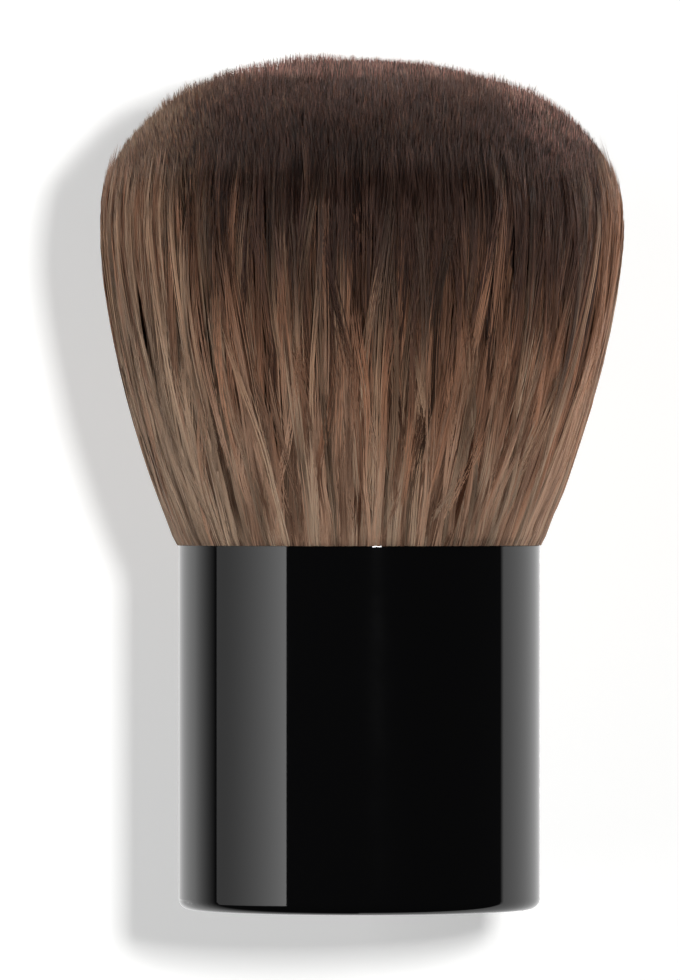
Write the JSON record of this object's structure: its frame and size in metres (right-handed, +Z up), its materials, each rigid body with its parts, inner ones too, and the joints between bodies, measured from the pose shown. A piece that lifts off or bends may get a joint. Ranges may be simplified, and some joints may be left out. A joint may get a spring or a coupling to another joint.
{
  "type": "kabuki makeup brush",
  "caption": "Short kabuki makeup brush: a dense, domed head of soft brown hair with dark tips, set in a straight gloss black handle that stands on its flat base.",
  "frame": {"origin": "middle of the base, on the plane that the brush stands on", "axes": "+Z up the brush's axis from the base to the crown of the hair; the front of the picture looks along +Y with +X to the right"},
  "size_m": [0.0448, 0.0448, 0.072],
  "materials": {
    "black_lacquer": "gloss",
    "black_satin_plastic": "satin",
    "turned_steel": "satin",
    "moulded_core": "matte",
    "drawn_aluminium": "satin",
    "amber_resin": "gloss",
    "cotton_thread": "matte",
    "brown_hair": "satin"
  },
  "bodies": {
    "root": {"handle_sleeve": "black_lacquer", "base_cap": "black_satin_plastic", "balance_weight": "turned_steel", "handle_core": "moulded_core", "ferrule_cup": "drawn_aluminium", "epoxy_plug": "amber_resin", "binding_thread": "cotton_thread", "bristle_head": "brown_hair"}
  },
  "joints": []
}
